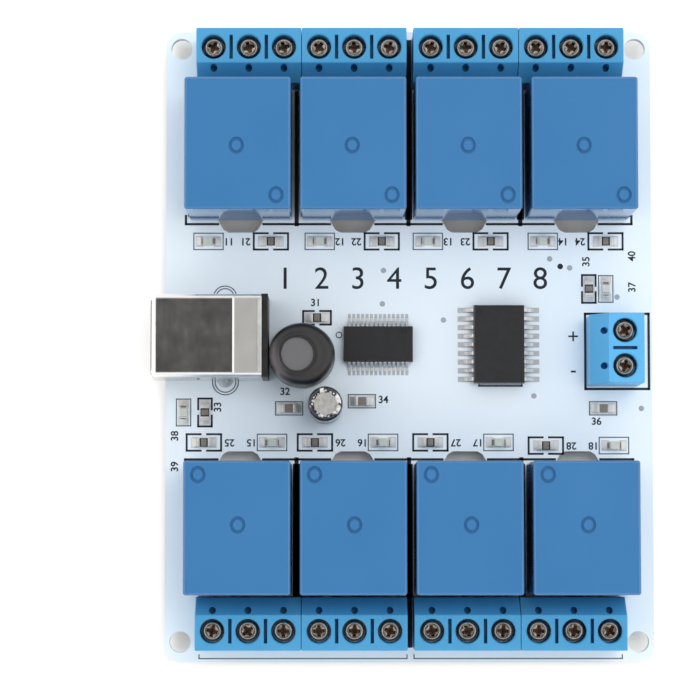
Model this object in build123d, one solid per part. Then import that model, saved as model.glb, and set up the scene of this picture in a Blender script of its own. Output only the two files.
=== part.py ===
from build123d import *
import os

os.makedirs("parts", exist_ok=True)

# Eight-channel relay module board. All sizes are millimetres.
# Origin: centre of the mounting hole rectangle, on the underside of the board.
# +Z is up, +Y runs along the long side, +X points at the side with the power terminal.

# Board
board_w = 71.6
board_l = 93.0
board_t = 1.6
board_shift_y = -0.2
board_corner_r = 2.5
hole_in_x = 2.3
hole_in_y = 2.8
mounting_hole_d = 3.1

# Pins through the board
pin_tail = 1.9
pin_gap = 0.15
small_pin_w = 0.6

# Terminal blocks
pole_pitch = 5.08
poles = 3
power_poles = 2
block_joint = 0.06
pair_gap = 0.92
block_h = 10.0
block_depth = 7.55
block_top_flat = 5.1
block_back_h = 6.5
block_edge_top = 1.15
block_edge_bottom = 2.1
block_edge_power = 2.15
power_y = -1.27
entry_w = 3.9
entry_h = 3.9
entry_sill = 1.5
entry_depth = 5.9
well_y = 2.8
well_d = 3.5
well_sides = 8
rib_slot_w = 0.5
rib_slot_l = 3.5
rib_slot_depth = 1.2

# Clamp screws and clamps
screw_d = 2.7
screw_sink = 0.7
clamp_gap = 0.1
clamp_h = 3.5
clamp_depth = 3.4
clamp_wall = 0.6
clamp_pin_w = 1.0
clamp_pin_t = 0.8

# Relays
relay_w = 15.2
relay_l = 19.0
relay_h = 15.5
relay_pitch = 16.5
relays_in_row = 4
relay_to_block = 0.45
relay_lift = 0.3
cover_wall = 0.9
cover_side_edge = 0.4
cover_top_edge = 0.3
base_t = 1.0
base_gap = 0.05
common_pin_in = 2.4
coil_pin_in = 4.4
contact_pin_out = 2.4
relay_pin_x = 6.0
blade_w = 1.1
blade_t = 0.5

# Isolation slots at the inner end of each relay
slot_out = 1.75
slot_under = 0.9
slot_outer_w = 4.6
slot_inner_w = 7.7
slot_corner = 0.5

# USB type B socket
usb_y = 0.5
usb_overhang = 1.5
usb_w = 12.0
usb_h = 10.9
usb_shell_l = 15.9
usb_sheet = 0.4
usb_edge_r = 0.8
usb_back_l = 0.9
usb_back_step = 0.5
usb_mouth_w = 8.5
usb_mouth_h = 7.8
usb_mouth_z = 1.6
usb_mouth_cut = 1.6
usb_mouth_depth = 9.0
usb_tongue_w = 5.6
usb_tongue_h = 3.2
usb_tongue_l = 8.2
usb_contact_w = 1.0
usb_contact_t = 0.25
usb_contact_l = 6.5
usb_contact_pitch = 2.5
usb_leg_x = 10.28
usb_leg_w = 2.0
usb_pin_row_1 = 12.99
usb_pin_row_2 = 14.99

# Drum inductor
inductor_to_usb = 0.1
inductor_d = 9.3
inductor_h = 11.6
inductor_sleeve_t = 0.35
inductor_top_r = 1.3
inductor_eye_d = 4.8
inductor_waist_d = 4.0
inductor_flange_t = 1.6
inductor_wire_in = 0.25
inductor_lift = 0.3
inductor_lead_pitch = 5.0
inductor_sleeve_gap = 0.1
inner_sides = 12
eye_sides = 24

# Radial electrolytic capacitor
can_dx = 3.5
can_row_in = 5.2
can_to_inductor = 0.85
can_d = 5.0
can_h = 11.0
can_sleeve_t = 0.15
can_shoulder = 0.5
can_bung_h = 1.4
can_lead_pitch = 2.0
can_lift = 0.3

# Interface chip, shrink small outline with fine leads
chip_to_inductor = 1.5
chip_y = -0.15
chip_l = 10.2
chip_w = 5.3
chip_h = 1.75
chip_leads_side = 14
chip_pitch = 0.65
chip_lead_w = 0.3
chip_span = 7.8
chip_foot = 0.7
chip_lead_t = 0.18

# Driver chip, wide small outline
driver_x = 13.2
driver_y = -0.2
driver_l = 11.55
driver_w = 7.5
driver_h = 2.4
driver_leads_side = 9
driver_pitch = 1.27
driver_lead_w = 0.42
driver_span = 10.3
driver_foot = 0.85
driver_lead_t = 0.28

chip_lift = 0.1
chip_draft = 6.0

# Two-terminal surface parts
smd_l = 2.0
smd_w = 1.25
cap_l = 0.4
resistor_h = 0.5
resistor_cap_t = 0.05
ceramic_h = 0.85
ceramic_cap_t = 0.05
led_base_h = 0.35
led_lens_l = 1.3
led_lens_h = 0.5
lamp_row_in = 3.05

# Lamp rows: how far each resistor and lamp stands from the middle of its relay, and below its row
row_resistor_dx_top = (4.45, 4.3, 3.85, 4.3)
row_led_dx_top = (-4.75, -4.85, -5.4, -4.95)
row_resistor_dx_bottom = (-5.35, -5.55, -5.1, -4.65)
row_led_dx_bottom = (4.65, 4.45, 4.9, 5.35)
row_drop_top = (0, 0, 0, 0)
row_drop_bottom = (0, 0, 0, 0.47)

# Lone surface parts, each from what it stands beside or midway between
resistor_to_inductor = 0.68
resistor_inductor_dx = 2.25
ceramic_to_can = 1.85
can_ceramic_dy = -0.2
chip_ceramic_dy = 0.8
edge_led_in = 2.7
edge_resistor_in = 5.85
edge_parts_dy = -0.12
supply_resistor_in = 7.1
supply_led_in = 4.6
supply_parts_dy = -1.4
supply_ceramic_in = 5.1
supply_ceramic_dy = 0.9

# Places worked out from the sizes
hole_pitch_x = board_w - 2 * hole_in_x
hole_pitch_y = board_l - 2 * hole_in_y
board_top_y = board_l / 2 + board_shift_y
board_bottom_y = -board_l / 2 + board_shift_y
row_face_top = board_top_y - block_edge_top
row_face_bottom = board_bottom_y + block_edge_bottom
relay_y_top = row_face_top - block_depth - relay_to_block - relay_l / 2
relay_y_bottom = row_face_bottom + block_depth + relay_to_block + relay_l / 2
lamp_y_top = relay_y_top - relay_l / 2 - lamp_row_in
lamp_y_bottom = relay_y_bottom + relay_l / 2 + lamp_row_in
relay_columns = [(i - (relays_in_row - 1) / 2) * relay_pitch for i in range(relays_in_row)]
pair_centre = pair_gap / 2 + poles * pole_pitch
block_columns = [side * pair_centre + half * poles * pole_pitch / 2 for side in (-1, 1) for half in (-1, 1)]
usb_front_x = -board_w / 2 - usb_overhang
power_face_x = board_w / 2 - block_edge_power
inductor_x = usb_front_x + usb_shell_l + usb_back_l + inductor_to_usb + inductor_d / 2
can_reach = inductor_d / 2 + can_to_inductor + can_d / 2
can_x = inductor_x + can_dx
can_y = lamp_y_bottom + can_row_in
inductor_y = can_y + (can_reach ** 2 - can_dx ** 2) ** 0.5
chip_x = inductor_x + inductor_d / 2 + chip_to_inductor + chip_l / 2

# A seat is the place of a sub-part on the board's top face
top_relays = [Pos(x, relay_y_top, board_t) for x in relay_columns]
bottom_relays = [Pos(x, relay_y_bottom, board_t) * Rot(0, 0, 180) for x in relay_columns]
top_blocks = [Pos(x, row_face_top, board_t) for x in block_columns]
bottom_blocks = [Pos(x, row_face_bottom, board_t) * Rot(0, 0, 180) for x in block_columns]
power_seat = Pos(power_face_x, power_y, board_t) * Rot(0, 0, -90)
usb_seat = Pos(usb_front_x, usb_y, board_t)
inductor_seat = Pos(inductor_x, inductor_y, board_t)
can_seat = Pos(can_x, can_y, board_t)
chip_seat = Pos(chip_x, chip_y, board_t)
driver_seat = Pos(driver_x, driver_y, board_t) * Rot(0, 0, 90)


def save(name, shapes):
    """Write one sub-part, a single solid or a group of separate solids."""
    solids = [s for shape in shapes for s in shape.solids()]
    body = solids[0] if len(solids) == 1 else Compound(children=solids)
    body.label = name
    export_step(body, f"parts/{name}.step")


def block(x0, x1, y0, y1, z0, z1):
    """A straight block between two corners."""
    return Pos((x0 + x1) / 2, (y0 + y1) / 2, (z0 + z1) / 2) * Box(x1 - x0, y1 - y0, z1 - z0)


def prism(sides, across, z0, z1):
    """An upright prism with flat sides, across its corners."""
    return Pos(0, 0, z0) * extrude(RegularPolygon(across / 2, sides), z1 - z0)


def pin_hole(width, depth, z0, z1):
    """Hole that clears a pin of the given section."""
    x = width / 2 + pin_gap
    y = depth / 2 + pin_gap
    return block(-x, x, -y, y, z0, z1)


def tail(width, depth, top):
    """A straight pin from a height above the seat to its end below the board."""
    return block(-width / 2, width / 2, -depth / 2, depth / 2, -board_t - pin_tail, top)


def outline(points, plane):
    """A flat face from corner points."""
    return make_face(plane * Polyline(*points, close=True))


def pole_offsets(count):
    """Distances of the poles from the middle of a block."""
    return [(i - (count - 1) / 2) * pole_pitch for i in range(count)]


# Terminal block, with its wire face at y = 0 looking along +Y

def terminal_housing(count):
    """Moulded block: sloped back, screw wells, wire entries and slots between the poles."""
    width = count * pole_pitch - block_joint
    side = [(0, 0), (0, block_h), (-block_top_flat, block_h), (-block_depth, block_back_h), (-block_depth, 0)]
    body = Pos(-width / 2, 0, 0) * extrude(outline(side, Plane.YZ), width)
    ceiling = entry_sill + entry_h
    for x in pole_offsets(count):
        body -= block(x - entry_w / 2, x + entry_w / 2, -entry_depth, 0, entry_sill, ceiling)
        body -= Pos(x, -well_y, 0) * prism(well_sides, well_d, ceiling, block_h)
        body -= Pos(x, -well_y, 0) * pin_hole(clamp_pin_w, clamp_pin_t, 0, entry_sill)
    for x in pole_offsets(count - 1):
        body -= block(x - rib_slot_w / 2, x + rib_slot_w / 2, -well_y - rib_slot_l / 2,
                      -well_y + rib_slot_l / 2, block_h - rib_slot_depth, block_h)
    return body


def clamp_screw():
    """Screw that stands in the well with its end on the clamp."""
    return Pos(0, -well_y, 0) * prism(well_sides, screw_d, entry_sill + clamp_h, block_h - screw_sink)


def clamp():
    """Square ring folded from strip that holds the wire, with the solder pin on its floor."""
    x = entry_w / 2 - clamp_gap
    y0 = -well_y - clamp_depth / 2
    y1 = -well_y + clamp_depth / 2
    wall = clamp_wall
    ring = block(-x, x, y0, y1, entry_sill, entry_sill + clamp_h)
    ring -= block(-x + wall, x - wall, y0, y1, entry_sill + wall, entry_sill + clamp_h - wall)
    return ring + Pos(0, -well_y, 0) * tail(clamp_pin_w, clamp_pin_t, entry_sill)


def at_poles(shape, count):
    """One copy of a shape at each pole of a block."""
    return [Pos(x, 0, 0) * shape for x in pole_offsets(count)]


# Relay, centred on its seat, with the coil end towards -Y

relay_pins = [(0, common_pin_in, blade_w, blade_t)]
relay_pins += [(side * relay_pin_x, relay_l - contact_pin_out, blade_w, blade_t) for side in (-1, 1)]
coil_pins = [(side * relay_pin_x, coil_pin_in, small_pin_w, small_pin_w) for side in (-1, 1)]


def relay_cover():
    """Moulded case with broken edges and a recess for the base plate."""
    body = block(-relay_w / 2, relay_w / 2, -relay_l / 2, relay_l / 2, relay_lift, relay_h)
    body = chamfer(body.edges().filter_by(Axis.Z), cover_side_edge)
    body = chamfer(body.faces().sort_by(Axis.Z)[-1].edges(), cover_top_edge)
    x = relay_w / 2 - cover_wall
    y = relay_l / 2 - cover_wall
    return body - block(-x, x, -y, y, relay_lift, relay_lift + base_t)


def relay_base():
    """Base plate that fills the recess and holds the cover's rim off the board."""
    x = relay_w / 2 - cover_wall - base_gap
    y = relay_l / 2 - cover_wall - base_gap
    return block(-x, x, -y, y, 0, relay_lift + base_t)


def relay_pin(x, inward, width, depth):
    """Pin from the base plate's underside to its tail below the board."""
    return Pos(x, inward - relay_l / 2, 0) * tail(width, depth, 0)


def relay_holes():
    """Holes in the board for the five pins of a relay."""
    return [Pos(x, y - relay_l / 2, 0) * pin_hole(w, d, -board_t, 0) for x, y, w, d in relay_pins + coil_pins]


def isolation_slot():
    """Tapered cut-out between a relay's common pin and the low voltage side."""
    y0 = -relay_l / 2 - slot_out
    y1 = -relay_l / 2 + slot_under
    shape = [(-slot_outer_w / 2, y0), (slot_outer_w / 2, y0), (slot_inner_w / 2, y1), (-slot_inner_w / 2, y1)]
    face = outline(shape, Plane.XY)
    face = chamfer(face.vertices().group_by(Axis.Y)[0], slot_corner)
    return Pos(0, 0, -board_t) * extrude(face, board_t)


# USB socket, with its mouth at x = 0 looking along -X

def usb_shell():
    """Folded sheet shell with rounded top edges and two board legs."""
    body = block(0, usb_shell_l, -usb_w / 2, usb_w / 2, 0, usb_h)
    top = body.edges().filter_by(Axis.X).group_by(Axis.Z)[-1]
    body = fillet(top, usb_edge_r)
    inside = usb_w / 2 - usb_sheet
    body -= block(0, usb_shell_l, -inside, inside, 0, usb_h - usb_sheet)
    middle = (usb_w - usb_sheet) / 2
    return body + [Pos(usb_leg_x, y, 0) * tail(usb_leg_w, usb_sheet, 0) for y in (-middle, middle)]


def usb_pin_places():
    """Two rows of two contact tails."""
    half = usb_contact_pitch / 2
    return [(x, y) for x in (usb_pin_row_1, usb_pin_row_2) for y in (-half, half)]


def usb_insulator():
    """Moulded body with the five-sided mouth, the tongue and a stepped back."""
    half = usb_w / 2 - usb_sheet
    body = block(0, usb_shell_l, -half, half, 0, usb_h - usb_sheet)
    body = chamfer(body.edges().filter_by(Axis.X).group_by(Axis.Z)[-1], usb_edge_r - usb_sheet / 2)
    body += block(usb_shell_l, usb_shell_l + usb_back_l, -usb_w / 2, usb_w / 2, 0, usb_h - usb_back_step)
    x = usb_mouth_w / 2
    low = usb_mouth_z
    high = usb_mouth_z + usb_mouth_h
    mouth = [(-x, low), (x, low), (x, high - usb_mouth_cut), (x - usb_mouth_cut, high),
             (usb_mouth_cut - x, high), (-x, high - usb_mouth_cut)]
    body -= extrude(outline(mouth, Plane.YZ), usb_mouth_depth)
    middle = usb_mouth_z + usb_mouth_h / 2
    body += block(usb_mouth_depth - usb_tongue_l, usb_mouth_depth, -usb_tongue_w / 2, usb_tongue_w / 2,
                  middle - usb_tongue_h / 2, middle + usb_tongue_h / 2)
    return body


def usb_contacts():
    """Four contact strips on the tongue and their four tails under the body."""
    strips = []
    middle = usb_mouth_z + usb_mouth_h / 2
    tip = usb_mouth_depth - usb_tongue_l + usb_contact_w
    for side in (-1, 1):
        face = middle + side * usb_tongue_h / 2
        z0, z1 = sorted((face, face + side * usb_contact_t))
        for end in (-1, 1):
            y0 = end * usb_contact_pitch / 2 - usb_contact_w / 2
            strips.append(block(tip, tip + usb_contact_l, y0, y0 + usb_contact_w, z0, z1))
    return strips + [Pos(x, y, 0) * tail(small_pin_w, small_pin_w, 0) for x, y in usb_pin_places()]


# Drum inductor, upright on its seat

def turned(profile):
    """A solid of revolution from points given as radius and height."""
    return revolve(outline(profile, Plane.XZ), Axis.Z)


def ring(outer, inner, z0, z1):
    """A hidden round part with a hole, with flat sides."""
    return prism(inner_sides, 2 * outer, z0, z1) - prism(inner_sides, 2 * inner, z0, z1)


def inductor_core():
    """Ferrite drum: two flanges on a waist, the upper one with a broken edge."""
    r = inductor_d / 2 - inductor_sleeve_t - inductor_sleeve_gap
    z0 = inductor_lift
    z1 = inductor_h - inductor_sleeve_t
    top = prism(inner_sides, 2 * r, z1 - inductor_flange_t, z1)
    top = chamfer(top.faces().sort_by(Axis.Z)[-1].edges(), inductor_top_r)
    waist = prism(inner_sides, inductor_waist_d, z0, z1 - inductor_flange_t)
    return top + waist + prism(inner_sides, 2 * r, z0, z0 + inductor_flange_t)


def inductor_winding():
    """The turns of wire, as the one round body that they form."""
    r = inductor_d / 2 - inductor_sleeve_t - inductor_sleeve_gap - inductor_wire_in
    z1 = inductor_h - inductor_sleeve_t - inductor_flange_t
    return ring(r, inductor_waist_d / 2, inductor_lift + inductor_flange_t, z1)


def inductor_sleeve():
    """Shrunk sleeve that closes over the top flange round an open eye."""
    r = inductor_d / 2
    under = inductor_h - inductor_sleeve_t
    shoulder = inductor_h - inductor_top_r
    body = turned([(0, 0), (r, 0), (r, shoulder), (r - inductor_top_r, inductor_h), (0, inductor_h)])
    room = prism(inner_sides, 2 * (r - inductor_sleeve_t), 0, under)
    room = chamfer(room.faces().sort_by(Axis.Z)[-1].edges(), inductor_top_r)
    return body - room - prism(eye_sides, inductor_eye_d, under, inductor_h)


def lead_pair(pitch, lift):
    """Two straight leads through the board."""
    return [Pos(x, 0, 0) * tail(small_pin_w, small_pin_w, lift) for x in (-pitch / 2, pitch / 2)]


# Electrolytic capacitor, upright on its seat

def capacitor_can():
    """Drawn aluminium can with a rounded shoulder."""
    r = can_d / 2 - can_sleeve_t
    z0 = can_lift + can_bung_h
    return turned([(0, z0), (r, z0), (r, can_h - can_shoulder), (r - can_shoulder, can_h), (0, can_h)])


def capacitor_bung():
    """Rubber bung that closes the can and stands on the board."""
    return prism(inner_sides, can_d - 2 * can_sleeve_t, 0, can_lift + can_bung_h)


def capacitor_sleeve():
    """Film sleeve round the can, up to its shoulder."""
    r = can_d / 2
    return turned([(r - can_sleeve_t, can_lift), (r, can_lift), (r, can_h - can_shoulder),
                   (r - can_sleeve_t, can_h - can_shoulder)])


# Gull-wing chips, long side along X

def chip_body(length, width, height):
    """Moulded body that tapers from its parting line both ways."""
    middle = (height + chip_lift) / 2
    rise = height - middle
    face = Rectangle(length, width)
    body = Pos(0, 0, middle) * extrude(face, rise, taper=chip_draft)
    return body + Pos(0, 0, middle) * extrude(face, -(middle - chip_lift), taper=chip_draft)


def gull_leads(count, pitch, lead_w, thick, body_w, span, foot, height):
    """Two rows of formed leads."""
    root = body_w / 2
    tip = span / 2
    knee = tip - foot
    middle = (height + chip_lift) / 2
    shape = [(root, middle), (root, middle - thick), (knee - thick, 0), (tip, 0), (tip, thick), (knee, thick)]
    lead = Pos(-lead_w / 2, 0, 0) * extrude(outline(shape, Plane.YZ), lead_w)
    leads = []
    for i in range(count):
        x = (i - (count - 1) / 2) * pitch
        leads += [Pos(x, 0, 0) * lead, Pos(x, 0, 0) * Rot(0, 0, 180) * lead]
    return leads


# Small two-terminal parts, long side along X

def end_caps(height, skin):
    """Two metal ends over the ends of a chip part."""
    inner = smd_l / 2 - cap_l
    cap = block(inner, smd_l / 2, -smd_w / 2, smd_w / 2, 0, height + skin)
    return [cap, Rot(0, 0, 180) * cap]


def smd_block(length, z0, z1):
    """Ceramic or moulded block of a chip part."""
    return block(-length / 2, length / 2, -smd_w / 2, smd_w / 2, z0, z1)


def spread(shapes, seats):
    """Copies of a group of shapes on a list of seats."""
    return [seat * shape for seat in seats for shape in shapes]


def seats_of(places):
    """Seats from places given as x, y and turn."""
    return [Pos(x, y, board_t) * Rot(0, 0, turn) for x, y, turn in places]


def lamp_row(offsets, y, drops):
    """Places beside the relays of one row."""
    return [(x + dx, y - drop, 0) for x, dx, drop in zip(relay_columns, offsets, drops)]


edge_x = -board_w / 2
edge_y = (usb_y - usb_w / 2 + lamp_y_bottom) / 2 + edge_parts_dy
supply_half = power_poles * pole_pitch / 2
supply_y = (power_y + supply_half + lamp_y_top) / 2 + supply_parts_dy
inductor_resistor_y = inductor_y + inductor_d / 2 + resistor_to_inductor + smd_w / 2
can_ceramic_x = can_d / 2 + ceramic_to_can + smd_l / 2
chip_ceramic_y = (chip_y - chip_span / 2 + lamp_y_bottom) / 2 + chip_ceramic_dy
supply_ceramic_y = (power_y - supply_half + lamp_y_bottom) / 2 + supply_ceramic_dy

resistor_seats = seats_of(lamp_row(row_resistor_dx_top, lamp_y_top, row_drop_top)
                          + lamp_row(row_resistor_dx_bottom, lamp_y_bottom, row_drop_bottom)
                          + [(inductor_x + resistor_inductor_dx, inductor_resistor_y, 0),
                             (edge_x + edge_resistor_in, edge_y, 90),
                             (power_face_x - supply_resistor_in, supply_y, 90)])
led_seats = seats_of(lamp_row(row_led_dx_top, lamp_y_top, row_drop_top)
                     + lamp_row(row_led_dx_bottom, lamp_y_bottom, row_drop_bottom)
                     + [(edge_x + edge_led_in, edge_y, 90),
                        (power_face_x - supply_led_in, supply_y, 90)])
ceramic_seats = seats_of([(can_x - can_ceramic_x, can_y + can_ceramic_dy, 0),
                          (can_x + can_ceramic_x, chip_ceramic_y, 0),
                          (power_face_x - supply_ceramic_in, supply_ceramic_y, 0)])


def circuit_board():
    """Board with rounded corners, mounting holes, isolation slots and drilled pin holes."""
    body = Pos(0, board_shift_y, 0) * extrude(RectangleRounded(board_w, board_l, board_corner_r), board_t)
    tools = []
    for x in (-hole_pitch_x / 2, hole_pitch_x / 2):
        for y in (-hole_pitch_y / 2, hole_pitch_y / 2):
            tools.append(Pos(x, y, board_t / 2) * Cylinder(mounting_hole_d / 2, board_t))
    tools += spread(relay_holes() + [isolation_slot()], top_relays + bottom_relays)
    clamp_hole = Pos(0, -well_y, 0) * pin_hole(clamp_pin_w, clamp_pin_t, -board_t, 0)
    tools += spread(at_poles(clamp_hole, poles), top_blocks + bottom_blocks)
    tools += spread(at_poles(clamp_hole, power_poles), [power_seat])
    small_hole = pin_hole(small_pin_w, small_pin_w, -board_t, 0)
    leg_hole = pin_hole(usb_leg_w, usb_sheet, -board_t, 0)
    leg_y = usb_w / 2 - usb_sheet / 2
    tools += [usb_seat * Pos(x, y, 0) * small_hole for x, y in usb_pin_places()]
    tools += [usb_seat * Pos(usb_leg_x, y, 0) * leg_hole for y in (-leg_y, leg_y)]
    for seat, pitch in ((inductor_seat, inductor_lead_pitch), (can_seat, can_lead_pitch)):
        tools += [seat * Pos(x, 0, 0) * small_hole for x in (-pitch / 2, pitch / 2)]
    return body - tools


save("circuit_board", [circuit_board()])

cover = relay_cover()
base = relay_base()
for number, seat in enumerate(top_relays + bottom_relays, 1):
    save(f"relay_cover_{number}", [seat * cover])
    save(f"relay_base_{number}", [seat * base])
save("relay_contact_pins", spread([relay_pin(*p) for p in relay_pins], top_relays + bottom_relays))
save("relay_coil_pins", spread([relay_pin(*p) for p in coil_pins], top_relays + bottom_relays))

housing = terminal_housing(poles)
for number, seat in enumerate(top_blocks + bottom_blocks, 1):
    save(f"terminal_housing_{number}", [seat * housing])
save("power_terminal_housing", [power_seat * terminal_housing(power_poles)])
for name, seats, count in (("top_terminal", top_blocks, poles), ("bottom_terminal", bottom_blocks, poles),
                           ("power_terminal", [power_seat], power_poles)):
    save(f"{name}_screws", spread(at_poles(clamp_screw(), count), seats))
    save(f"{name}_clamps", spread(at_poles(clamp(), count), seats))

save("usb_shell", [usb_seat * usb_shell()])
save("usb_insulator", [usb_seat * usb_insulator()])
save("usb_contacts", spread(usb_contacts(), [usb_seat]))

save("inductor_core", [inductor_seat * inductor_core()])
save("inductor_winding", [inductor_seat * inductor_winding()])
save("inductor_sleeve", [inductor_seat * inductor_sleeve()])
save("inductor_leads", spread(lead_pair(inductor_lead_pitch, inductor_lift), [inductor_seat]))
save("capacitor_can", [can_seat * capacitor_can()])
save("capacitor_bung", [can_seat * capacitor_bung()])
save("capacitor_sleeve", [can_seat * capacitor_sleeve()])
save("capacitor_leads", spread(lead_pair(can_lead_pitch, 0), [can_seat]))

save("interface_chip_body", [chip_seat * chip_body(chip_l, chip_w, chip_h)])
save("interface_chip_leads", spread(gull_leads(chip_leads_side, chip_pitch, chip_lead_w, chip_lead_t,
                                               chip_w, chip_span, chip_foot, chip_h), [chip_seat]))
save("driver_chip_body", [driver_seat * chip_body(driver_l, driver_w, driver_h)])
save("driver_chip_leads", spread(gull_leads(driver_leads_side, driver_pitch, driver_lead_w, driver_lead_t,
                                            driver_w, driver_span, driver_foot, driver_h), [driver_seat]))

save("resistor_bodies", spread([smd_block(smd_l - 2 * cap_l, 0, resistor_h)], resistor_seats))
save("resistor_end_caps", spread(end_caps(resistor_h, resistor_cap_t), resistor_seats))
save("led_bases", spread([smd_block(smd_l, 0, led_base_h)], led_seats))
save("led_lenses", spread([smd_block(led_lens_l, led_base_h, led_base_h + led_lens_h)], led_seats))
save("ceramic_capacitor_bodies", spread([smd_block(smd_l - 2 * cap_l, 0, ceramic_h)], ceramic_seats))
save("ceramic_capacitor_end_caps", spread(end_caps(ceramic_h, ceramic_cap_t), ceramic_seats))
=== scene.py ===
import bpy
import bmesh
import random
from math import atan2, cos, exp, pi, radians, sin
from mathutils import Matrix, Vector


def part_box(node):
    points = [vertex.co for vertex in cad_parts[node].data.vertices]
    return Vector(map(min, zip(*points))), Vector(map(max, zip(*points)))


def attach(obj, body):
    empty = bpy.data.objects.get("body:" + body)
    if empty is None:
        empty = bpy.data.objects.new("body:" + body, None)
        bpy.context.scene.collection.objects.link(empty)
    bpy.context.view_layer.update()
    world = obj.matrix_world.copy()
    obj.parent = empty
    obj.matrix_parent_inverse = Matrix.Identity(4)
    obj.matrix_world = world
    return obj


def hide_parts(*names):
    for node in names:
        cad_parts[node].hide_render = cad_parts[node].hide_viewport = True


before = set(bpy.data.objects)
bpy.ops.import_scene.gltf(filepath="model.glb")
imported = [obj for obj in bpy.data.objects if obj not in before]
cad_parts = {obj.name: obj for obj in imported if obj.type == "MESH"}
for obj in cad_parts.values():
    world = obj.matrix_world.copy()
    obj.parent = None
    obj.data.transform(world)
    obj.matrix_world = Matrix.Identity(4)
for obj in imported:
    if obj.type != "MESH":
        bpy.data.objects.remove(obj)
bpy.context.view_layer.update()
mm = 0.001


# Selecting, adding and finishing pieces

def clearPick():
    if bpy.context.object and bpy.context.object.mode != "OBJECT":
        bpy.ops.object.mode_set(mode="OBJECT")
    bpy.ops.object.select_all(action="DESELECT")


def pick(piece, *others):
    clearPick()
    for one in (piece,) + others:
        one.select_set(True)
    bpy.context.view_layer.objects.active = piece


def pickParts(piece, kind, test):
    # leaves the piece in edit mode with the faces, edges or points that pass the test selected
    pick(piece)
    bpy.ops.object.mode_set(mode="EDIT")
    bpy.ops.mesh.select_mode(type=kind)
    bpy.ops.mesh.select_all(action="DESELECT")
    shape = bmesh.from_edit_mesh(piece.data)
    for part in {"VERT": shape.verts, "EDGE": shape.edges, "FACE": shape.faces}[kind]:
        if test(part):
            part.select_set(True)
    shape.select_flush_mode()
    bmesh.update_edit_mesh(piece.data)


def doneEditing():
    bpy.ops.object.mode_set(mode="OBJECT")


def settle():
    # the place, turn and size of the active piece go into its mesh
    bpy.ops.object.transform_apply(location=True, rotation=True, scale=True)


def addBlock(low, high):
    # a cube primitive stretched between two corners, in mm
    clearPick()
    low, high = Vector(low) * mm, Vector(high) * mm
    bpy.ops.mesh.primitive_cube_add(size=1, location=(low + high) / 2, scale=high - low)
    settle()
    return bpy.context.object


def addSlab(halfLength, halfWidth, z0, z1):
    # a block centred on the upright axis, in mm
    return addBlock((-halfLength, -halfWidth, z0), (halfLength, halfWidth, z1))


def addRound(radius, z0, z1, x=0, y=0, sides=32, topRadius=None):
    # an upright cylinder, or a cone where its top has a radius of its own, in mm
    clearPick()
    upper = radius if topRadius is None else topRadius
    bpy.ops.mesh.primitive_cone_add(vertices=sides, radius1=radius * mm, radius2=upper * mm,
                                    depth=(z1 - z0) * mm, location=(x * mm, y * mm, (z0 + z1) / 2 * mm))
    settle()
    return bpy.context.object


def useModifier(piece, kind, **settings):
    pick(piece)
    modifier = piece.modifiers.new(kind, kind)
    for name, value in settings.items():
        setattr(modifier, name, value)
    bpy.ops.object.modifier_apply(modifier=modifier.name)


def soften(piece, width, segments=2, angle=30):
    # rounds every edge sharper than the angle
    useModifier(piece, "BEVEL", width=width * mm, segments=segments, limit_method="ANGLE",
                angle_limit=radians(angle), miter_outer="MITER_ARC")


def join(first, *others):
    pick(first, *others)
    bpy.ops.object.join()
    return first


def cut(piece, *tools):
    tool = join(*tools) if len(tools) > 1 else tools[0]
    useModifier(piece, "BOOLEAN", operation="DIFFERENCE", solver="EXACT", object=tool)
    bpy.data.objects.remove(tool)


def copyOf(piece, matrix):
    # a copy with its own mesh, put in place inside that mesh
    copy = bpy.data.objects.new(piece.name, piece.data.copy())
    bpy.context.scene.collection.objects.link(copy)
    copy.data.transform(matrix)
    return copy


def remove(*pieces):
    for piece in pieces:
        bpy.data.objects.remove(piece)


def editAll(piece):
    pick(piece)
    bpy.ops.object.mode_set(mode="EDIT")
    bpy.ops.mesh.select_all(action="SELECT")


def roundEdges(piece, width, segments, test, clamp=False):
    # rounds only the edges that pass the test
    pickParts(piece, "EDGE", test)
    bpy.ops.mesh.bevel(offset=width * mm, segments=segments, affect="EDGES", clamp_overlap=clamp)
    doneEditing()


def scaleParts(piece, factors, test, middle=(0, 0, 0)):
    # draws the points that pass the test in or out, about a middle in metres
    pickParts(piece, "VERT", test)
    bpy.ops.transform.resize(value=factors, center_override=middle)
    doneEditing()


def mergedNode(node):
    # a copy of a CAD node with its loose triangles merged and its flat faces whole
    copy = copyOf(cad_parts[node], Matrix.Identity(4))
    editAll(copy)
    bpy.ops.mesh.remove_doubles(threshold=mergeGap * mm)
    bpy.ops.mesh.dissolve_limited(angle_limit=radians(1))
    doneEditing()
    return copy


def solidsOf(node):
    # the lowest and highest corner, in mm, of each separate solid in a CAD node
    copy = mergedNode(node)
    shape = bmesh.new()
    shape.from_mesh(copy.data)
    seen, boxes = set(), []
    for start in shape.verts:
        if start in seen:
            continue
        seen.add(start)
        island = [start]
        for point in island:    # the list grows while it is read
            for edge in point.link_edges:
                other = edge.other_vert(point)
                if other not in seen:
                    seen.add(other)
                    island.append(other)
        boxes.append([Vector([limit(point.co[i] for point in island) for i in range(3)]) / mm
                      for limit in (min, max)])
    shape.free()
    remove(copy)
    return boxes


def finish(piece, name, material, replaces=(), smooth=30):
    piece.name = name
    piece.data.name = name
    pick(piece)
    bpy.ops.object.shade_smooth_by_angle(angle=radians(smooth))
    useModifier(piece, "WEIGHTED_NORMAL", keep_sharp=True)    # keeps broad faces flat beside rounded edges
    piece.data.materials.clear()
    piece.data.materials.append(material)
    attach(piece, "root")
    if replaces:
        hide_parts(*replaces)
    return piece


def boxOf(node):
    low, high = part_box(node)
    return low / mm, high / mm


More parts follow.
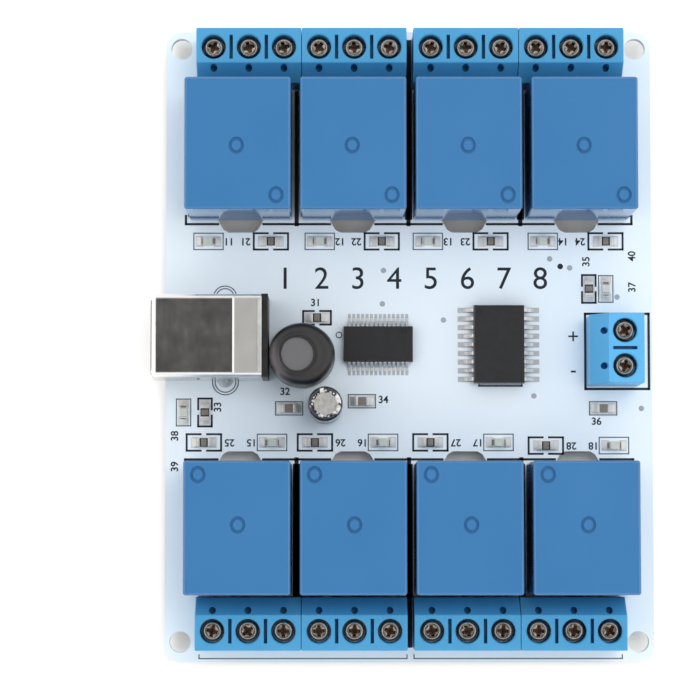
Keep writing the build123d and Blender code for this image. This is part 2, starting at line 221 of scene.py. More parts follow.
mergeGap = 0.002    # points closer than this are one
near = 0.01    # how exactly a face, an edge or a point is picked by its place
over = 1    # how far a cutting tool stands out of the piece
sink = 0.005    # how deep print and vias stand in the board
boardTop = boxOf("circuit_board")[1].z
boardBottom = boxOf("circuit_board")[0].z
floorZ = min(boxOf("relay_contact_pins")[0].z, boxOf("top_terminal_clamps")[0].z)


# Material helpers

def hexToLinear(code):
    parts = [int(code[i:i + 2], 16) / 255 for i in (1, 3, 5)]
    return [p / 12.92 if p <= 0.04045 else ((p + 0.055) / 1.055) ** 2.4 for p in parts] + [1.0]


def addNode(tree, kind, inputs=None, out=0, **settings):
    # adds a node and gives its output socket: settings are its own values, inputs are values or sockets
    node = tree.nodes.new("ShaderNode" + kind)
    for name, value in settings.items():
        setattr(node, name, value)
    for name, value in (inputs or {}).items():
        if isinstance(value, bpy.types.NodeSocket):
            tree.links.new(value, node.inputs[name])
        else:
            node.inputs[name].default_value = value
    return node.outputs[out]


def newMaterial(name, **sockets):
    material = bpy.data.materials.new(name)
    material.use_nodes = True
    tree = material.node_tree
    shader = tree.nodes["Principled BSDF"]
    for socket, value in sockets.items():
        shader.inputs[socket.replace("_", " ")].default_value = value
    place = addNode(tree, "TexCoord", out="Object")
    return material, tree, shader, place


def colourBy(tree, shader, factor, low, high):
    # the base colour goes from low to high with the factor; each is a hex code or another colour's socket
    low, high = [hexToLinear(colour) if isinstance(colour, str) else colour for colour in (low, high)]
    tint = addNode(tree, "Mix", {"Factor": factor, 6: low, 7: high}, 2, data_type="RGBA")
    tree.links.new(tint, shader.inputs["Base Color"])
    return tint


def mottle(tree, shader, place, colours, size, roughness, bump=0.0, bumpSize=None):
    # colour and roughness that wander between two values, with an optional fine relief; sizes in mm
    cloud = addNode(tree, "TexNoise", {"Vector": place, "Scale": 1 / (size * mm), "Detail": 4.0})
    gloss = addNode(tree, "MapRange", {"Value": cloud, "From Min": 0.3, "From Max": 0.7,
                                       "To Min": roughness[0], "To Max": roughness[1]})
    tree.links.new(gloss, shader.inputs["Roughness"])
    if bump:
        grain = addNode(tree, "TexNoise", {"Vector": place, "Scale": 1 / (bumpSize * mm), "Detail": 3.0})
        relief = addNode(tree, "Bump", {"Height": grain, "Distance": bump * mm, "Strength": 1.0})
        tree.links.new(relief, shader.inputs["Normal"])
    return colourBy(tree, shader, cloud, *colours)


def plainMaterial(name, colours, size, roughness, bump=0.0, bumpSize=None, **sockets):
    # a finish that needs no more than the mottle
    material, tree, shader, place = newMaterial(name, **sockets)
    mottle(tree, shader, place, colours, size, roughness, bump, bumpSize)
    return material


# Materials with a pattern of their own

def solderMaskMaterial():
    # FR4 laminate with white solder mask: cool white faces with a soft sheen, pale fibre at the routed edges
    material, tree, shader, place = newMaterial("white_solder_mask_fr4", IOR=1.5)
    tint = mottle(tree, shader, place, ("#e8f5ff", "#eff9ff"), 22.0, (0.34, 0.44), 0.01, 0.7)
    upright = addNode(tree, "SeparateXYZ", {"Vector": addNode(tree, "NewGeometry", out="Normal")}, "Z")
    flat = addNode(tree, "Math", {0: upright}, operation="ABSOLUTE")
    edge = addNode(tree, "Math", {0: flat, 1: 0.5}, operation="LESS_THAN")
    layers = addNode(tree, "TexWave", {"Vector": place, "Scale": 1 / (1.2 * mm), "Distortion": 3.0}, "Fac",
                     wave_type="BANDS", bands_direction="Z")
    fibre = colourBy(tree, shader, layers, "#c8cbc6", "#dfe2e0")
    colourBy(tree, shader, edge, tint, fibre)
    return material


def screwMaterial():
    # zinc plated steel screw: grey brown, with driver scuffs, and painted shade, dark brown, in the cross
    # recess and at the very rim
    material, tree, shader, place = newMaterial("zinc_plated_steel", Metallic=1.0)
    tint = mottle(tree, shader, place, ("#91877e", "#d4cac0"), 0.7, (0.15, 0.3), 0.02, 0.3)
    height = addNode(tree, "SeparateXYZ", {"Vector": place}, "Z")
    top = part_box("top_terminal_screws")[1].z
    # painted shade: the colour darkens to brown below the head's top, in the cross recess and where the dome
    # falls to its rim
    recessShade = addNode(tree, "MapRange", {"Value": height, "From Min": top - 0.18 * mm,
                                      "From Max": top - 0.5 * mm})
    colourBy(tree, shader, recessShade, tint, "#5a463a")
    return material


def shellMaterial():
    # nickel plated steel sheet: faint rolling marks across it, and handling smudges that dull the flat top
    material, tree, shader, place = newMaterial("nickel_plated_steel", Metallic=1.0)
    stretch = addNode(tree, "Mapping", {"Vector": place, "Scale": (4.0, 1.0, 1.0)})
    lines = addNode(tree, "TexNoise", {"Vector": stretch, "Scale": 1 / (2.5 * mm), "Detail": 5.0})
    smudge = addNode(tree, "TexNoise", {"Vector": place, "Scale": 1 / (2.2 * mm), "Detail": 6.0})
    blend = addNode(tree, "Math", {0: lines, 1: smudge}, operation="MULTIPLY")
    colourBy(tree, shader, blend, "#c2c0bc", "#f0eeea")
    gloss = addNode(tree, "MapRange", {"Value": smudge, "To Min": 0.1, "To Max": 0.26})
    tree.links.new(gloss, shader.inputs["Roughness"])
    relief = addNode(tree, "Bump", {"Height": lines, "Distance": 0.003 * mm})
    tree.links.new(relief, shader.inputs["Normal"])
    return material


def shrinkMaterial():
    # shrunk polyolefin sleeve: black satin with shallow ripples where it pulled tight
    material, tree, shader, place = newMaterial("black_shrink_sleeve", IOR=1.5)
    tint = mottle(tree, shader, place, ("#181716", "#22201f"), 2.4, (0.3, 0.4), 0.012, 1.6)
    # painted reflection: the side towards the lower left is painted paler, a soft highlight on the satin
    # sleeve
    middle = sum(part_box("inductor_sleeve"), Vector()) / 2
    local = addNode(tree, "VectorMath", {0: place, 1: middle}, operation="SUBTRACT")
    along = addNode(tree, "VectorMath", {0: local, 1: (-0.93, -0.36, 0)}, "Value", operation="DOT_PRODUCT")
    paintedSheen = addNode(tree, "MapRange", {"Value": along, "From Min": 2.2 * mm, "From Max": 4.4 * mm},
                   interpolation_type="SMOOTHSTEP")
    colourBy(tree, shader, paintedSheen, tint, "#575154")
    return material


def magnetWireMaterial():
    # enamelled copper wire: the wave is one turn of 0.3 mm wire
    material, tree, shader, place = newMaterial("enamelled_copper_wire", Metallic=1.0, Roughness=0.3)
    turns = addNode(tree, "TexWave", {"Vector": place, "Scale": 1 / (6.28 * 0.3 * mm)}, "Fac",
                    wave_type="BANDS", bands_direction="Z")
    # painted shade and highlight: the colour runs dark between turns and light along each crest
    colourBy(tree, shader, turns, "#6b3417", "#c46a35")
    relief = addNode(tree, "Bump", {"Height": turns, "Distance": 0.1 * mm})
    tree.links.new(relief, shader.inputs["Normal"])
    return material


def filmSleeveMaterial():
    # PET film sleeve: dark and glossy, puckered where it shrank over the shoulder
    material, tree, shader, place = newMaterial("dark_pet_film", IOR=1.57)
    tint = mottle(tree, shader, place, ("#14161a", "#2b2e35"), 0.8, (0.06, 0.16), 0.05, 0.6)
    # painted highlights: pale patches in a ring round the folded shoulder, standing in for silver highlights
    # on the glossy film
    low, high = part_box("capacitor_can")
    middle = Vector(((low.x + high.x) / 2, (low.y + high.y) / 2, 0))
    local = addNode(tree, "VectorMath", {0: place, 1: middle}, operation="SUBTRACT")
    flat = addNode(tree, "VectorMath", {0: local, 1: (1, 1, 0)}, operation="MULTIPLY")
    away = addNode(tree, "VectorMath", {0: flat}, "Value", operation="LENGTH")
    ring = addNode(tree, "MapRange", {"Value": away, "From Min": 2.34 * mm, "From Max": 2.2 * mm})
    patch = addNode(tree, "TexNoise", {"Vector": place, "Scale": 1 / (1.3 * mm), "Detail": 1.0})
    highlightPatches = addNode(tree, "MapRange", {"Value": patch, "From Min": 0.55, "From Max": 0.6})
    paintedHighlight = addNode(tree, "Math", {0: ring, 1: highlightPatches}, operation="MULTIPLY")
    colourBy(tree, shader, paintedHighlight, tint, "#dcdcd8")
    return material


print("materials")
solderMask = solderMaskMaterial()
screwSteel = screwMaterial()
shellNickel = shellMaterial()
shrinkBlack = shrinkMaterial()
magnetWire = magnetWireMaterial()
filmSleeve = filmSleeveMaterial()

# Plain finishes of the board: colours, size of the mottle, roughness, relief and the size of its grain

# epoxy screen ink: near black with a blue cast, matt and slightly uneven
ink = plainMaterial("black_epoxy_ink", ("#0c141d", "#1b2631"), 0.5, (0.5, 0.7), 0.01, 0.15, IOR=1.48)
# the same ink where the screen laid it thin: slate grey, with the white mask showing through
thinInk = plainMaterial("thin_epoxy_ink", ("#39424c", "#6a747e"), 0.35, (0.5, 0.7), 0.01, 0.15, IOR=1.48)
# lead-free solder: bright where it froze smooth, dull where it crystallised
solder = plainMaterial("lead_free_solder", ("#c9caca", "#ebebe9"), 0.6, (0.4, 0.58), 0.02, 0.35,
                       Metallic=0.45)
# the thin solder left on a pad round a foot: the same alloy under dry flux, grainy and pale grey
dullSolder = plainMaterial("grainy_solder", ("#a6abb0", "#cdd1d4"), 0.4, (0.45, 0.6), 0.02, 0.2,
                           Metallic=0.25)
# tin plated copper strip: pale bright metal with fine roller marks
tin = plainMaterial("tin_plated_copper", ("#dddbd6", "#f4f2ee"), 0.4, (0.34, 0.46), 0.006, 0.12,
                    Metallic=0.65)
# tented via: the mask sags over plated copper and reads as a dull grey dot
viaPlate = plainMaterial("tented_via", ("#939ca6", "#bac2ca"), 0.3, (0.4, 0.55), 0.01, 0.1, Metallic=0.2)

# Relays and terminals

# injection moulded PBT case: clear mid blue with a polished tool finish and faint flow marks
relayCase = plainMaterial("polished_blue_pbt", ("#3a73a6", "#427aae"), 14.0, (0.09, 0.14), 0.003, 4.0,
                          IOR=1.54)
# black base plate sealed with epoxy: matt with a few glossy pools
relayBase = plainMaterial("sealed_black_pbt", ("#0d0f12", "#1c1f24"), 2.5, (0.25, 0.6), 0.02, 0.8, IOR=1.5)
# glass filled nylon terminal block: bright sky blue with a fine moulded grain
terminalBlue = plainMaterial("bright_blue_nylon", ("#4598c8", "#4da0cf"), 5.0, (0.3, 0.38), 0.006, 0.25,
                             IOR=1.53)
# the supply block's nylon: the same blue, a shade lighter
powerBlue = plainMaterial("light_blue_nylon", ("#55ace0", "#5db2e5"), 5.0, (0.34, 0.42), 0.006, 0.25,
                          IOR=1.53)

# Socket

# the shell's rear panel: the same plating over a sand blasted strip, pale and even
shellSatin = plainMaterial("satin_nickel_steel", ("#c6c4bf", "#d0cec9"), 3.0, (0.46, 0.5), 0.003, 0.2,
                           Metallic=1.0)
# the shell's rims, step and folds: the same plating painted palest, a painted highlight along its edges
shellHighlight = plainMaterial("nickel_rim_painted_highlight", ("#f4f2ee", "#ffffff"), 1.5, (0.26, 0.36), Metallic=0.75)
# black PBT socket body: matt spark eroded finish
socketBlack = plainMaterial("black_socket_pbt", ("#0b0b0c", "#17171a"), 1.2, (0.35, 0.55), 0.015, 0.2,
                            IOR=1.5)
# gold flashed phosphor bronze contacts: warm yellow
contactGold = plainMaterial("gold_flashed_bronze", ("#c9a35a", "#e6c987"), 0.5, (0.18, 0.3), 0.005, 0.1,
                            Metallic=1.0)

# Inductor and capacitor

# sintered ferrite: mid grey, dry, with a fine open grain
ferrite = plainMaterial("sintered_ferrite", ("#4f4e51", "#605f62"), 0.6, (0.5, 0.7), 0.02, 0.12, IOR=1.8)
# deep drawn aluminium can: soft silver with faint draw marks
canAluminium = plainMaterial("drawn_aluminium", ("#b6b5b2", "#dcdad6"), 0.5, (0.42, 0.56), 0.01, 0.15,
                             Metallic=1.0)
# butyl rubber bung: black and dry
rubber = plainMaterial("butyl_rubber", ("#0e0e0e", "#1c1b1b"), 0.8, (0.6, 0.8), 0.02, 0.2, IOR=1.52)

# Chips and small parts

# transfer moulded epoxy: charcoal with a fine spark eroded grain
epoxy = plainMaterial("moulded_epoxy", ("#151517", "#1e1e20"), 0.9, (0.42, 0.5), 0.008, 0.09, IOR=1.55)
# thick film resistor: black glass over white ceramic, a little domed and glossy
resistorGlass = plainMaterial("black_glass_film", ("#1a1a1c", "#3b3a3c"), 0.5, (0.2, 0.4), 0.02, 0.3,
                              IOR=1.52)
# painted reflection on each resistor: a grey brown, satin patch over the black film
resistorReflection = plainMaterial("resistor_painted_reflection", ("#6b655f", "#8f8880"), 0.4, (0.35, 0.5), 0.01, 0.2, IOR=1.52)
# barium titanate capacitor body: warm grey brown, dry fired surface
titanate = plainMaterial("fired_titanate", ("#6a5f57", "#857a70"), 0.4, (0.45, 0.6), 0.01, 0.1, IOR=2.0)
# white reflector moulding of a chip lamp: bright, dense and matt
lampBase = plainMaterial("white_lamp_moulding", ("#d0d4cd", "#e2e5de"), 0.6, (0.4, 0.55), 0.01, 0.15, IOR=1.5)
# clear epoxy lens with a faint green cast over its die
lampLens = plainMaterial("pale_green_epoxy", ("#ced5ca", "#e5e9e1"), 0.5, (0.12, 0.22), 0.01, 0.4, IOR=1.5,
                         Transmission_Weight=0.15)
# lamp electrodes: thin gold over copper, browned by the soldering heat
lampPlate = plainMaterial("browned_gold_plate", ("#7d7270", "#aaa39c"), 0.3, (0.4, 0.55), 0.01, 0.1,
                          Metallic=0.9)


def dress(node, material):
    # a CAD node that keeps its own mesh and gets a better finish
    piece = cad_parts[node]
    piece.data.materials.clear()
    piece.data.materials.append(material)


# Camera, floor and light

view = {
    "place": (-11.0166, -28.1641, 418.1785),    # mm, above the board
    "turn": (0.0659352, -0.0021451, -0.0003149),    # radians
    "focalPixels": 2837.67,
    "imageHeight": 696,
    "sensor": 36.0,
}

light = {
    "overhead": 0.1,    # share of the walls' light in the dark patch above, which flat metal mirrors
    "walls": 1.25,    # the pale walls round it
    "horizon": 0.6,    # share of that at floor level
    "wallSides": (0.82, 1.16),    # the walls to the front and back, and those to the left and right
    "wallEdge": (0.1, 0.45),    # sines of the elevation where the walls start and are whole
    "patchEdge": (0.9, 0.98),
    "key": 0.72,
    "keyPlace": (120, 95, 590),    # mm
    "keySize": 260,
    "floorColour": "#f1efec",
    "floorLift": 0.36,    # what the camera and mirrors see on top of the lit floor
    "floorUnder": 0.03,    # the same under the board, kept low: painted shadow under the board
    "floorSize": 4000,
}


def setCamera():
    clearPick()
    bpy.ops.object.camera_add(location=Vector(view["place"]) * mm, rotation=view["turn"])
    camera = bpy.context.object
    camera.data.sensor_fit = "AUTO"
    camera.data.sensor_width = view["sensor"]
    camera.data.lens = view["focalPixels"] * view["sensor"] / view["imageHeight"]
    camera.data.clip_start = 0.01
    camera.data.clip_end = 20
    bpy.context.scene.camera = camera


def setWorld():
    world = bpy.data.worlds.new("studio")
    world.use_nodes = True
    bpy.context.scene.world = world
    tree = world.node_tree
    background = tree.nodes["Background"]
    sky = addNode(tree, "TexCoord", out="Generated")
    height = addNode(tree, "SeparateXYZ", {"Vector": sky}, "Z")
    walls = light["walls"]
    low, high = light["patchEdge"]
    patch = addNode(tree, "MapRange", {"Value": height, "From Min": low, "From Max": high, "To Min": walls,
                                       "To Max": walls * light["overhead"]}, interpolation_type="SMOOTHSTEP")
    low, high = light["wallEdge"]
    rise = addNode(tree, "MapRange", {"Value": height, "From Min": low, "From Max": high,
                                      "To Min": light["horizon"]}, interpolation_type="SMOOTHSTEP")
    level = addNode(tree, "Math", {0: patch, 1: rise}, operation="MULTIPLY")
    aside = addNode(tree, "Math", {0: height.node.outputs["X"]}, operation="ABSOLUTE")
    low, high = light["wallSides"]
    share = addNode(tree, "MapRange", {"Value": aside, "To Min": low, "To Max": high})
    level = addNode(tree, "Math", {0: level, 1: share}, operation="MULTIPLY")
    tree.links.new(level, background.inputs["Strength"])
    background.inputs["Color"].default_value = (1, 1, 1, 1)


def addKey():
    clearPick()
    bpy.ops.object.light_add(type="AREA", location=Vector(light["keyPlace"]) * mm)
    lamp = bpy.context.object
    lamp.data.shape = "DISK"
    lamp.data.size = light["keySize"] * mm
    lamp.data.energy = light["key"]
    lamp.rotation_euler = Vector(light["keyPlace"]).to_track_quat("Z", "Y").to_euler()
    lamp.visible_glossy = False    # only the walls and the patch show in mirrors


def addFloor():
    clearPick()
    bpy.ops.mesh.primitive_plane_add(size=light["floorSize"] * mm, location=(0, 0, floorZ * mm))
    settle()
    floor = bpy.context.object
    floor.name = "floor"
    material, tree, shader, place = newMaterial("matt_white_paper", Specular_IOR_Level=0.1)
    mottle(tree, shader, place, (light["floorColour"], light["floorColour"]), 40.0, (0.85, 0.95))
    rays = addNode(tree, "LightPath").node.outputs
    seen = addNode(tree, "Math", {0: rays["Is Camera Ray"], 1: rays["Is Glossy Ray"]}, operation="MAXIMUM")
    seen = addNode(tree, "Math", {0: seen, 1: rays["Is Transmission Ray"]}, operation="MAXIMUM")
    # how far a point lies outside the board's outline, across its nearer side
    low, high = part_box("circuit_board")
    middle = addNode(tree, "VectorMath", {0: place, 1: (low + high) / 2}, operation="SUBTRACT")
    reach = addNode(tree, "VectorMath", {0: middle}, operation="ABSOLUTE")
    past = addNode(tree, "VectorMath", {0: reach, 1: (high - low) / 2}, operation="SUBTRACT")
    sides = addNode(tree, "SeparateXYZ", {"Vector": past}).node.outputs
    outside = addNode(tree, "Math", {0: sides["X"], 1: sides["Y"]}, operation="MAXIMUM")
    # the glow drops to floorUnder beneath the board: painted shadow under it
    glow = addNode(tree, "MapRange", {"Value": outside, "From Min": -2 * mm, "From Max": 2 * mm,
                                      "To Min": light["floorUnder"], "To Max": light["floorLift"]})
    lift = addNode(tree, "Math", {0: seen, 1: glow}, operation="MULTIPLY")
    shader.inputs["Emission Color"].default_value = (1, 1, 1, 1)
    tree.links.new(lift, shader.inputs["Emission Strength"])
    floor.data.materials.append(material)


print("camera, floor and light")
setCamera()
setWorld()
addKey()
addFloor()
bpy.context.scene.view_settings.view_transform = "Standard"


# Shapes that several pieces share

def extrudeMove(step):
    bpy.ops.mesh.extrude_region_move(TRANSFORM_OT_translate={"value": Vector(step) * mm})


def bentStrip(points, width, thickness, bend):
    # sheet strip of one width, bent through points given as (y, z) in mm, with rounded bends
    clearPick()
    bpy.ops.mesh.primitive_plane_add(size=width * mm)
    strip = bpy.context.object
    first, second = points[:2]
    for corner in strip.data.vertices:
        corner.co.y, corner.co.z = Vector(second if corner.co.y > 0 else first) * mm
    for here, there in zip(points[1:], points[2:]):
        pickParts(strip, "VERT", lambda v: (v.co.yz - Vector(here) * mm).length < mergeGap * mm)
        extrudeMove((0, there[0] - here[0], there[1] - here[1]))
        doneEditing()
    useModifier(strip, "BEVEL", width=bend * mm, segments=3, limit_method="ANGLE", angle_limit=radians(20))
    useModifier(strip, "SOLIDIFY", thickness=thickness * mm, offset=0, use_even_offset=True)
    faceOut(strip)
    return strip


def faceOut(piece):
    # merges doubles and turns every face outwards
    editAll(piece)
    bpy.ops.mesh.remove_doubles(threshold=mergeGap * mm)
    bpy.ops.mesh.normals_make_consistent(inside=False)
    doneEditing()


def solderRamp(start, length, width, height):
    # concave solder fillet that runs down from the end of a part, along +X, onto its pad
    ramp = addBlock((start - 0.02, -width / 2, 0), (start + length * 0.22, width / 2, height))
    # each step is a share of the length, and its end is that much lower
    for share, drop in ((0.22, 0.58), (0.26, 0.55), (0.3, 0.4)):
        edge = max(v.co.x for v in ramp.data.vertices)
        pickParts(ramp, "FACE", lambda f: f.calc_center_median().x > edge - 1e-6)
        extrudeMove((length * share, 0, 0))
        bpy.ops.transform.resize(value=(1, 1.03, drop), center_override=(0, 0, 0))
        doneEditing()
    soften(ramp, 0.04, 2, 35)
    return ramp


def lathe(points, x, y, steps=64):
    # a profile of (radius, height) points in mm, closed on itself, spun round an upright axis
    clearPick()
    bpy.ops.mesh.primitive_circle_add(vertices=len(points), radius=mm)
    piece = bpy.context.object
    for corner, (radius, height) in zip(piece.data.vertices, points):
        corner.co = Vector((radius, 0, height)) * mm
    editAll(piece)
    bpy.ops.mesh.spin(steps=steps, angle=2 * pi, center=(0, 0, 0), axis=(0, 0, 1))
    faceOut(piece)
    piece.data.transform(atPlace(x, y))
    return piece


def joinCopies(model, places):
    # one piece from copies of a model, at each matrix in a list; the model goes
    copies = [copyOf(model, place) for place in places]
    remove(model)
    return join(*copies)


def atPlace(x, y, z=0, turn=0):
    return Matrix.Translation(Vector((x, y, z)) * mm) @ Matrix.Rotation(radians(turn), 4, "Z")


def softNode(node, name, material, width):
    # a CAD node's own form with its sharp edges broken
    piece = mergedNode(node)
    soften(piece, width)
    finish(piece, name, material, [node])


def middleOf(box):
    return (box[0] + box[1]) / 2


def fromAxis(point, middle):
    # distance in mm and direction of a point, seen from an upright axis
    away = (point.co - middle * mm).xy
    return away.length / mm, atan2(away.y, away.x)


def pushOut(point, turn, reach):
    point.co += Vector((cos(turn), sin(turn), 0)) * reach * mm


# Relays

relay = {
    "edge": 0.4,    # rounded edges of the cover
    "ringRadius": 1.08,    # ejector ring marks on top
    "ringOval": 1.12,
    "ringWidth": 0.42,
    "ringDepth": 0.34,
    "middleRing": (-0.15, -0.4),    # from the cover's middle
    "cornerRing": (5.5, -7.5),
}


def ringTool(x, y, top):
    radius, depth = relay["ringRadius"], relay["ringDepth"]
    outer = addRound(radius, top - depth, top + over, sides=40)
    cut(outer, addRound(radius - relay["ringWidth"], top - 2 * depth, top + 2 * over, sides=40))
    outer.data.transform(atPlace(x, y) @ Matrix.Diagonal((1, relay["ringOval"], 1, 1)))
    return outer


def buildRelays():
    low, high = boxOf("relay_cover_1")
    cover = addSlab((high.x - low.x) / 2, (high.y - low.y) / 2, low.z, high.z)
    soften(cover, relay["edge"], 4)
    cut(cover, ringTool(*relay["middleRing"], high.z), ringTool(*relay["cornerRing"], high.z))
    for number in range(1, 9):
        middle = middleOf(boxOf(f"relay_cover_{number}"))
        copy = copyOf(cover, atPlace(middle.x, middle.y, 0, 0 if middle.y > 0 else 180))
        finish(copy, f"relay_case_{number}", relayCase, [f"relay_cover_{number}"])
        dress(f"relay_base_{number}", relayBase)
    remove(cover)


# Terminal blocks

terminal = {
    "topFlat": 5.1,    # from the wire face to the top of the slope
    "backHeight": 6.5,
    "poleIn": 2.8,    # from the wire face to the middle of a screw
    "pitch": 5.08,
    "wellRadius": 1.75,
    "entryWidth": 3.9,
    "entrySill": 1.5,
    "entryCeiling": 5.4,
    "entryDepth": 5.9,
    "slotWidth": 0.5,
    "slotLength": 3.5,
    "slotDepth": 2.2,
    "dotRadius": 0.5,    # test probe holes on the slope
    "dotIn": 5.72,
    "dotFloor": 6.6,
    "pinWidth": 1.3,
    "pinDepth": 1.1,
    "edge": 0.16,
    "rim": 0.16,
}


def housing(poles, node):
    # moulded block with its wire face at y = 0, standing on z = 0
    low, high = boxOf(node)
    size = high - low
    width, depth, height = max(size.x, size.y), min(size.x, size.y), size.z
    t = terminal
    body = addBlock((-width / 2, -depth, 0), (width / 2, 0, height))
    editAll(body)
    bpy.ops.mesh.bisect(plane_co=(0, -t["topFlat"] * mm, height * mm),
                        plane_no=Vector((0, t["backHeight"] - height, depth - t["topFlat"])).normalized(),
                        use_fill=True, clear_outer=True)
    doneEditing()
    soften(body, t["edge"], 3, 20)
    xs = [(i - (poles - 1) / 2) * t["pitch"] for i in range(poles)]
    ribs = [x + t["pitch"] / 2 for x in xs[:-1]]
    half, slot, reach = t["entryWidth"] / 2, t["slotWidth"] / 2, t["slotLength"] / 2
    y = -t["poleIn"]
    tools = [addBlock((x - half, -t["entryDepth"], t["entrySill"]), (x + half, over, t["entryCeiling"]))
             for x in xs]
    tools += [addRound(t["dotRadius"], t["dotFloor"], height, x, -t["dotIn"], 24) for x in xs]
    tools += [addBlock((x - slot, y - reach, height - t["slotDepth"]), (x + slot, y + reach, height + over))
              for x in ribs]
    cut(body, *tools)
    half, deep = t["pinWidth"] / 2, t["pinDepth"] / 2
    wells = [addRound(t["wellRadius"], t["entryCeiling"] - 0.5, height + over, x, y, 48) for x in xs]
    wells += [addBlock((x - half, y - deep, -over), (x + half, y + deep, t["entrySill"] + 0.5)) for x in xs]
    cut(body, *wells)
    # each well opens with a small cone
    start, foot, reach = t["wellRadius"] - 0.05, height - t["rim"] - 0.05, t["rim"] + 0.5
    cut(body, *[addRound(start, foot, foot + reach, x, y, 48, start + reach) for x in xs])
    return body


def buildHousings():
    model = housing(3, "terminal_housing_1")
    for number in range(1, 9):
        node = f"terminal_housing_{number}"
        low, high = boxOf(node)
        top = number <= 4
        place = atPlace((low.x + high.x) / 2, high.y if top else low.y, boardTop, 0 if top else 180)
        finish(copyOf(model, place), f"terminal_block_{number}", terminalBlue, [node])
    remove(model)
    node = "power_terminal_housing"
    low, high = boxOf(node)
    block = housing(2, node)
    block.data.transform(atPlace(high.x, (low.y + high.y) / 2, boardTop, -90))
    finish(block, "power_terminal_block", powerBlue, [node])


screw = {
    "edge": 0.32,    # the head domes down to its rim
    "crossWidth": 0.66,
    "crossLength": 2.2,
    "crossDepth": 0.8,
    "crossFoot": (0.55, 0.7, 1),    # how much shorter and narrower a slot is at its foot
    "crossWaist": 0.55,    # radius of the cone where the two slots meet
}


def buildScrews():
    random.seed(26)
    low, high = boxOf("top_terminal_screws")
    model = addRound((high.y - low.y) / 2, low.z, high.z, sides=40)
    roundEdges(model, screw["edge"], 6, lambda e: all(abs(v.co.z / mm - high.z) < near for v in e.verts))
    wide, long, deep = screw["crossWidth"] / 2, screw["crossLength"] / 2, screw["crossDepth"]
    for turn in (0, 90):
        slot = addSlab(long, wide, high.z - deep, high.z + over)
        # the slot's ends slope outwards to the top
        scaleParts(slot, screw["crossFoot"], lambda v: v.co.z / mm < high.z, (0, 0, (high.z - deep) * mm))
        slot.data.transform(atPlace(0, 0, 0, turn))
        cut(model, slot)
    cut(model, addRound(0, high.z - deep, high.z + deep, sides=20, topRadius=screw["crossWaist"] * 2))
    soften(model, 0.05, 2, 40)
    for row in ("top", "bottom", "power"):
        node = f"{row}_terminal_screws"
        middles = [middleOf(box) for box in solidsOf(node)]
        places = [atPlace(middle.x, middle.y, 0, random.uniform(0, 90)) for middle in middles]
        spare = copyOf(model, Matrix.Identity(4))
        finish(joinCopies(spare, places), f"{row}_terminal_clamp_screws", screwSteel, [node])
    remove(model)


# Socket

socket = {
    "sheet": 0.4,
    "topEdge": 0.8,    # radius of the folded top edges
    "frontEdge": 0.8,
    "seam": 11.72,    # from the front to the step of the rear panel
    "step": 0.22,    # how much lower the rear panel is
    "stepRun": 0.28,
    "rearEdge": 0.5,
    "groove": (15.2, 0.12, 0.12),    # place, width and depth of the line before the rear rim
    "springStart": 1.6,    # side spring fingers, from the front
    "springLength": 5.2,
    "springWidth": 2.6,
    "springGap": 0.35,
    "springHeight": 5.2,    # above the board
    "legStart": 9.28,
    "legLength": 2.0,
    "legTip": (0.6, 1, 1),    # how much a leg narrows to its tip
    "flat": 0.96,    # faces of the top less level than this belong to its folds
}


def legBlade(low, y):
    start, long = low.x + socket["legStart"], socket["legLength"]
    leg = addBlock((start, y, low.z), (start + long, y + socket["sheet"], boardTop + 0.05))
    scaleParts(leg, socket["legTip"], lambda v: v.co.z / mm < low.z + near, ((start + long / 2) * mm, 0, 0))
    return leg


